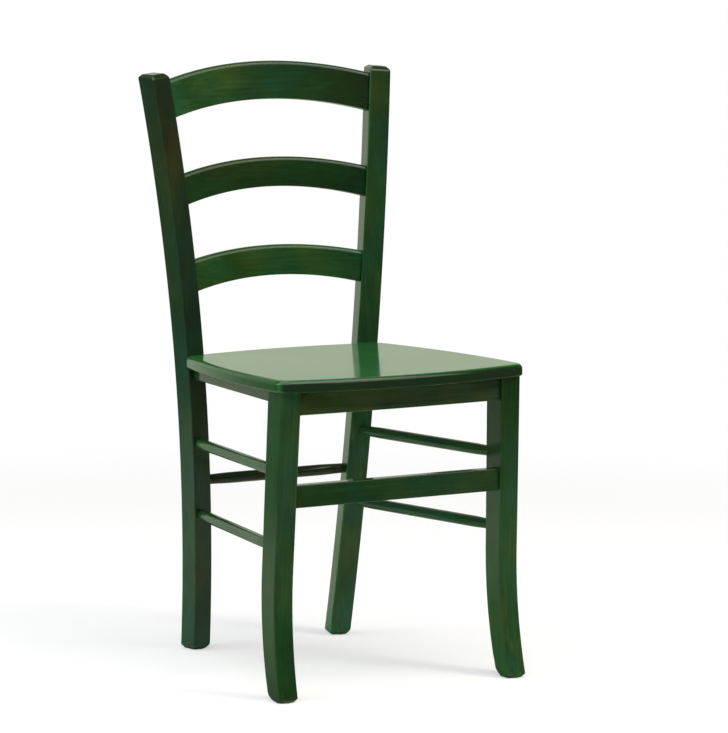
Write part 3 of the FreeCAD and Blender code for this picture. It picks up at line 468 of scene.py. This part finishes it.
greenPieces = {
    # node: direction of the grain, turn about it (degrees), warmth of the clouds, and factors on
    # red, green and blue at the first and the last end, and on the side faces. They were set so
    # that the render's tones come near the photograph's, and hold painted light and shade as well
    # as the stain's own variation: ends lighter or darker where light falls unevenly along a piece,
    # and side faces recoloured for the light that falls on them differently
    "rear_post_left": {"along": (0.074, 0.02, 1), "turn": 13, "warm": 0.35,
                       "endTintsWithPaintedLight": ((0.96, 0.67, 1.10), (1.32, 0.35, 0.60)), "sides": (0.30, 2.40, 2.25)},
    "rear_post_right": {"along": (-0.074, 0.02, 1), "turn": -13, "warm": 0.45,
                        "endTintsWithPaintedLight": ((1.70, 1.24, 2.00), (0.80, 0.53, 0.44)), "sides": (0.30, 2.60, 2.60)},
    "front_leg_left": {"along": (0.02, 0, 1), "warm": 0.6,
                       "endTintsWithPaintedLight": ((0.75, 0.61, 0.37), (1.22, 0.92, 1.24)), "sides": (0.30, 1.12, 0.63)},
    "front_leg_right": {"along": (-0.02, 0, 1), "warm": 0.5,
                        "endTintsWithPaintedLight": ((2.00, 1.21, 2.00), (0.42, 0.55, 0.25)), "sides": (0.30, 1.18, 0.40)},
    "front_seat_rail": {"along": (1, 0, 0), "warm": 0.9,
                        "endTintsWithPaintedLight": ((1.38, 0.81, 0.69), (1.71, 0.72, 1.73))},
    "rear_seat_rail": {"along": (1, 0, 0), "warm": 0.4,
                       "endTintsWithPaintedLight": ((0.8, 0.8, 0.8), (0.8, 0.8, 0.8))},
    "side_seat_rail_left": {"along": (0.17, 1, 0), "warm": 0.5,
                            "endTintsWithPaintedLight": ((0.8, 0.8, 0.8), (0.8, 0.8, 0.8))},
    "side_seat_rail_right": {"along": (-0.17, 1, 0), "warm": 0.5,
                             "endTintsWithPaintedLight": ((0.8, 0.8, 0.8), (0.8, 0.8, 0.8))},
    "back_slat_top": {"along": (1, 0, 0), "warm": 0.4,
                      "endTintsWithPaintedLight": ((1.80, 1.23, 1.53), (0.08, 0.19, 0.08))},
    "back_slat_middle": {"along": (1, 0, 0), "warm": 0.5,
                         "endTintsWithPaintedLight": ((1.19, 0.71, 0.53), (0.08, 0.36, 0.31))},
    "back_slat_lower": {"along": (1, 0, 0), "warm": 0.5,
                        "endTintsWithPaintedLight": ((2.00, 1.08, 0.81), (0.47, 0.93, 1.19))},
    "front_stretcher": {"along": (1, 0, 0), "warm": 0.6,
                        "endTintsWithPaintedLight": ((0.48, 0.59, 0.61), (0.93, 0.72, 1.53))},
    "rear_stretcher": {"along": (1, 0, 0), "warm": 0.4,
                       "endTintsWithPaintedLight": ((1.90, 0.43, 1.11), (1.90, 0.43, 1.11))},
    "side_stretcher_upper_left": {"along": (0.15, 1, 0), "warm": 0.4,
                                  "endTintsWithPaintedLight": ((1.1, 1.3, 1.9), (1.1, 1.3, 1.9))},
    "side_stretcher_upper_right": {"along": (-0.15, 1, 0), "warm": 0.3,
                                   "endTintsWithPaintedLight": ((1.1, 1.3, 1.9), (1.1, 1.3, 1.9))},
    "side_stretcher_lower_left": {"along": (0.15, 1, 0), "warm": 0.4,
                                  "endTintsWithPaintedLight": ((1.1, 1.1, 1.4), (1.1, 1.1, 1.4))},
    "side_stretcher_lower_right": {"along": (-0.15, 1, 0), "warm": 0.3,
                                   "endTintsWithPaintedLight": ((1.1, 1.1, 1.4), (1.1, 1.1, 1.4))},
}
slatBeech = dict(stainedBeech, lacquerRoughness=0.15)   # their highlights are softer
seedStep = 7.3   # from one piece's noise to the next
for index, (node, facts) in enumerate(greenPieces.items()):
    values = slatBeech if node.startswith("back_slat") else stainedBeech
    wood = beechUnderStain("stained_beech_" + node, facts["along"], middleOf(node),
                           facts.get("turn", 0), facts["warm"], facts["endTintsWithPaintedLight"],
                           facts.get("sides", plainTint), reachOf(node), seedStep * index, values)
    side = -1 if node.endswith("left") else 1
    if node.startswith("rear_post"):
        dressed(makePost(side), node, wood, shading["loftSharpAngle"])
    elif node.startswith("front_leg"):
        dressed(makeLeg(side, node), node, wood, shading["loftSharpAngle"])
    else:
        finished(node, wood)
print("frame pieces finished")

seatBeech = dict(stainedBeech, **{
    "deep": "#12561F",        # the board's stain is lighter and a little bluer than the frame's
    "middle": "#196227",
    "thin": "#246C30",
    "olive": "#2C5A20",
    "teal": "#0B5434",
    "cloud": 90.0,
    "cloudLength": 160.0,
    "endGrain": "#0F1A0B",
    "arrisWearAndPaintedLight": "#17351B",        # painted shade: its rounded edge is darker, not paler
    "lacquerRoughness": 0.11,
    # painted shade: how far the seat's rounded edge leans to that dark tone
    "arrisWearAndLightShare": 0.75,
})
# painted shade: the board's side faces are darkened to 0.6 of its tone
seatWood = beechUnderStain("stained_beech_seat", (0, 1, 0), middleOf("seat_panel"),
                           sides=(0.6, 0.6, 0.6), seed=200.0, values=seatBeech)
finished("seat_panel", seatWood)
print("seat finished")


# Sawn beech and zinc-plated steel below the seat

sawnBeech = {
    "early": "#D0AC84",
    "late": "#A97F58",
    "bandsPerMetre": (350, 350, 25),   # across, across and along the grain
    "bandPlaces": (0.35, 0.65),        # of the late and the early wood
    "relief": (0.5, 0.0002),           # strength, and depth in metres
    "roughness": (0.6, 0.8),
}
zincPlate = {
    "light": "#C4C7CB",
    "dark": "#8E9399",
    "mottlePerMetre": 900.0,
    "roughness": (0.28, 0.5),
}


def bareBeech(name, along, centre):
    # beech as sawn, unfinished: pale pinkish tan and dull, with narrow darker bands
    material, tree = newMaterial(name)
    place = addNode(tree, "ShaderNodeTexCoord")
    turnTo = Vector(along).normalized().rotation_difference(Vector((0, 0, 1))).to_euler()
    moved = addNode(tree, "ShaderNodeVectorMath", {0: place.outputs["Object"], 1: Vector(centre)},
                    operation="SUBTRACT")
    grain = addNode(tree, "ShaderNodeMapping", {"Vector": moved.outputs[0], "Rotation": turnTo})
    longer = addNode(tree, "ShaderNodeMapping", {"Vector": grain.outputs[0],
                                                 "Scale": sawnBeech["bandsPerMetre"]})
    bands = addNode(tree, "ShaderNodeTexNoise", {"Vector": longer.outputs[0], "Scale": 1.0, "Detail": 3.0})
    tone = addNode(tree, "ShaderNodeValToRGB", {"Fac": bands.outputs["Fac"]})
    low, high = tone.color_ramp.elements
    low.position, high.position = sawnBeech["bandPlaces"]
    low.color, high.color = toLinear(sawnBeech["late"]), toLinear(sawnBeech["early"])
    strength, depth = sawnBeech["relief"]
    relief = addNode(tree, "ShaderNodeBump", {"Strength": strength, "Distance": depth,
                                              "Height": bands.outputs["Fac"]})
    smoothest, roughest = sawnBeech["roughness"]
    rough = addNode(tree, "ShaderNodeMapRange", {"Value": bands.outputs["Fac"], "To Min": smoothest,
                                                 "To Max": roughest})
    wood = addNode(tree, "ShaderNodeBsdfPrincipled", {"Base Color": tone.outputs[0],
                                                      "Roughness": rough.outputs[0],
                                                      "Normal": relief.outputs[0]})
    addNode(tree, "ShaderNodeOutputMaterial", {"Surface": wood.outputs[0]})
    return material


def zincSteel(name):
    # screws of zinc-plated steel: cool grey, softly mottled, half matt
    material, tree = newMaterial(name)
    place = addNode(tree, "ShaderNodeTexCoord")
    mottle = addNode(tree, "ShaderNodeTexNoise", {"Vector": place.outputs["Object"], "Detail": 2.0,
                                                  "Scale": zincPlate["mottlePerMetre"]})
    tone = addNode(tree, "ShaderNodeValToRGB", {"Fac": mottle.outputs["Fac"]})
    tone.color_ramp.elements[0].color = toLinear(zincPlate["dark"])
    tone.color_ramp.elements[1].color = toLinear(zincPlate["light"])
    smoothest, roughest = zincPlate["roughness"]
    rough = addNode(tree, "ShaderNodeMapRange", {"Value": mottle.outputs["Fac"], "To Min": smoothest,
                                                 "To Max": roughest})
    steel = addNode(tree, "ShaderNodeBsdfPrincipled", {"Base Color": tone.outputs[0], "Metallic": 1.0,
                                                       "Roughness": rough.outputs[0]})
    addNode(tree, "ShaderNodeOutputMaterial", {"Surface": steel.outputs[0]})
    return material


for corner in ("front_left", "front_right", "rear_left", "rear_right"):
    node = "corner_block_" + corner
    across = (1, -1, 0) if corner in ("front_left", "rear_right") else (1, 1, 0)
    finished(node, bareBeech("sawn_beech_" + corner, across, middleOf(node)))
finished("seat_screws", zincSteel("zinc_plated_steel"))
print("blocks and screws finished")


# Floor, world and lamps of the studio

studio = {
    "floorSize": 60.0,
    "floorSeen": (0.58, 0.57, 0.575),   # how pale the floor is for the camera
    "floorLift": 0.48,         # white that is added to that, and to what it throws back
    "floorBounce": (0.8, 0.8, 0.8),    # how pale it is for the light it throws back
    "floorInFront": 0.16,      # how pale it is in the gloss, in front of the object
    "floorBehind": 0.48,       # and behind it
    "glossDepths": (-0.6, 0.5),    # metres, where it goes from the one to the other
    "whiteFrom": 1.1,          # metres from the middle, where the floor turns to plain white
    "whiteAll": 2.2,
    "fillLevel": 0.14,         # light from all round
    "backdropTurn": 13.0,      # degrees right of straight behind
    "backdropFade": (0.62, 0.95),  # cosines of the angle from there at which it ends and is full
    "backdropLevel": 0.65,     # what gloss sees there
    "awayLevel": 0.05,         # and to the sides
    "mirroredTone": "#FAFFE8",
}
studioLamps = {
    "topSoftbox": {"place": (-0.8, -0.55, 3.0), "aim": (0, 0, 0.3), "size": (4.2, 4.2), "power": 96.0,
                   "tone": "#FFFFFF"},
    "frontSoftbox": {"place": (1.3, -2.25, 3.45), "aim": (0, 0, 0.4), "size": (3.0, 3.0), "power": 52.0,
                     "tone": "#FFFAEC"},
    # as strong as the front softbox, but small, for the shadows beside the feet. It is left out of
    # the gloss, where it would show as a hard spot
    "shadowLamp": {"place": (1.9, -2.6, 2.9), "aim": (0, 0, 0.3), "size": (0.9, 0.9), "power": 50.0,
                   "tone": "#FFFAEC", "mirrored": False},
    "leftPanel": {"place": (-2.8, 0.8, 1.9), "aim": (0, 0, 0.7), "size": (2.0, 2.0), "power": 34.0,
                  "tone": "#D2EEF0"},
}


def levelTowards(tree, towards):
    # the pale backdrop stands behind the object, a little to its right, and fades to both sides
    turn = math.radians(studio["backdropTurn"])
    side = addNode(tree, "ShaderNodeVectorMath", {0: towards}, operation="NORMALIZE")
    middle = (math.sin(turn), math.cos(turn), 0)
    near = addNode(tree, "ShaderNodeVectorMath", {0: side.outputs[0], 1: middle},
                   operation="DOT_PRODUCT")
    fadeFrom, fadeTo = studio["backdropFade"]
    return addNode(tree, "ShaderNodeMapRange", {
        "Value": near.outputs["Value"], "From Min": fadeFrom, "From Max": fadeTo,
        "To Min": studio["awayLevel"], "To Max": studio["backdropLevel"]}).outputs[0]


def chosen(tree, factor, first, second):
    return addNode(tree, "ShaderNodeMixShader", {0: factor, 1: first, 2: second}).outputs[0]


def rayKinds(tree):
    # whether a ray belongs to a gloss, and whether it belongs to an eye (camera or see-through)
    rays = addNode(tree, "ShaderNodeLightPath")
    seen = addNode(tree, "ShaderNodeMath", {0: rays.outputs["Is Camera Ray"],
                                            1: rays.outputs["Is Transmission Ray"]}, operation="MAXIMUM")
    return rays.outputs["Is Glossy Ray"], seen.outputs[0]


def makeFloor():
    work = bmesh.new()
    bmesh.ops.create_grid(work, x_segments=1, y_segments=1, size=studio["floorSize"] / 2)
    mesh = bpy.data.meshes.new("floor")
    work.to_mesh(mesh)
    work.free()
    floor = bpy.data.objects.new("floor", mesh)
    bpy.context.scene.collection.objects.link(floor)
    material, tree = newMaterial("painted_studio_floor")
    place = addNode(tree, "ShaderNodeTexCoord").outputs["Object"]
    glossy, seen = rayKinds(tree)
    depth = addNode(tree, "ShaderNodeSeparateXYZ", {0: place}).outputs[1]
    front, behind = studio["glossDepths"]
    nearGloss = addNode(tree, "ShaderNodeMapRange", {
        "Value": depth, "From Min": front, "From Max": behind,
        "To Min": studio["floorInFront"], "To Max": studio["floorBehind"]}).outputs[0]
    toned = addNode(tree, "ShaderNodeVectorMath", {0: toLinear(studio["mirroredTone"])[:3],
                                                   "Scale": nearGloss}, operation="SCALE")
    forNearGloss = addNode(tree, "ShaderNodeBsdfDiffuse", {"Color": toned.outputs[0]}).outputs[0]
    lift = addNode(tree, "ShaderNodeEmission", {"Color": (1, 1, 1, 1), "Strength": studio["floorLift"]})

    def liftedPaint(level):
        paint = addNode(tree, "ShaderNodeBsdfDiffuse", {"Color": (*level, 1)})
        return addNode(tree, "ShaderNodeAddShader", {0: paint.outputs[0], 1: lift.outputs[0]}).outputs[0]

    white = addNode(tree, "ShaderNodeEmission", {"Color": (1, 1, 1, 1), "Strength": 1.0}).outputs[0]
    mirrored = addNode(tree, "ShaderNodeEmission", {"Color": toLinear(studio["mirroredTone"]),
                                                    "Strength": levelTowards(tree, place)}).outputs[0]
    away = addNode(tree, "ShaderNodeVectorMath", {0: place}, operation="LENGTH")
    far = addNode(tree, "ShaderNodeMapRange", {
        "Value": away.outputs["Value"], "From Min": studio["whiteFrom"], "From Max": studio["whiteAll"]},
        interpolation_type="SMOOTHSTEP").outputs[0]
    forGloss = chosen(tree, far, forNearGloss, mirrored)
    forEyes = chosen(tree, far, liftedPaint(studio["floorSeen"]), white)
    thrownBack = liftedPaint(studio["floorBounce"])
    surface = chosen(tree, seen, chosen(tree, glossy, thrownBack, forGloss), forEyes)
    addNode(tree, "ShaderNodeOutputMaterial", {"Surface": surface})
    mesh.materials.append(material)


def makeWorld():
    world = bpy.data.worlds.new("studio")
    bpy.context.scene.world = world
    world.use_nodes = True
    tree = world.node_tree
    tree.nodes.clear()
    glossy, seen = rayKinds(tree)
    direction = addNode(tree, "ShaderNodeTexCoord").outputs["Generated"]
    fill = addNode(tree, "ShaderNodeBackground", {"Color": (1, 1, 1, 1), "Strength": studio["fillLevel"]})
    mirrored = addNode(tree, "ShaderNodeBackground", {"Color": toLinear(studio["mirroredTone"]),
                                                      "Strength": levelTowards(tree, direction)})
    white = addNode(tree, "ShaderNodeBackground", {"Color": (1, 1, 1, 1), "Strength": 1.0})
    forRest = chosen(tree, glossy, fill.outputs[0], mirrored.outputs[0])
    surface = chosen(tree, seen, forRest, white.outputs[0])
    addNode(tree, "ShaderNodeOutputWorld", {"Surface": surface})


def makeLamp(name, facts):
    data = bpy.data.lights.new(name, "AREA")
    data.shape = "RECTANGLE"
    data.size, data.size_y = facts["size"]
    data.energy = facts["power"]
    data.color = toLinear(facts["tone"])[:3]
    lamp = bpy.data.objects.new(name, data)
    bpy.context.scene.collection.objects.link(lamp)
    lamp.location = facts["place"]
    heading = Vector(facts["aim"]) - Vector(facts["place"])
    lamp.rotation_euler = heading.to_track_quat("-Z", "Y").to_euler()
    lamp.visible_camera = False
    lamp.visible_glossy = facts.get("mirrored", True)


makeFloor()
makeWorld()
for name, facts in studioLamps.items():
    makeLamp(name, facts)
print("studio set")

view = {
    "place": (-3.4004, -6.0491, 1.4343),
    "aim": (0.0369, -0.0189, 0.4531),
    "roll": -0.41,           # degrees
    "lens": 230.8,           # mm
    "shiftRight": 0.0019,
    "farthest": 200.0,
}
cameraData = bpy.data.cameras.new("camera")
cameraData.lens = view["lens"]
cameraData.shift_x = view["shiftRight"]
cameraData.clip_end = view["farthest"]
camera = bpy.data.objects.new("camera", cameraData)
bpy.context.scene.collection.objects.link(camera)
forward = (Vector(view["aim"]) - Vector(view["place"])).normalized()
camera.location = view["place"]
camera.rotation_mode = "QUATERNION"
roll = Quaternion(forward, math.radians(view["roll"]))
camera.rotation_quaternion = roll @ forward.to_track_quat("-Z", "Y")
bpy.context.scene.camera = camera
bpy.context.scene.view_settings.view_transform = "Standard"
print("camera set")
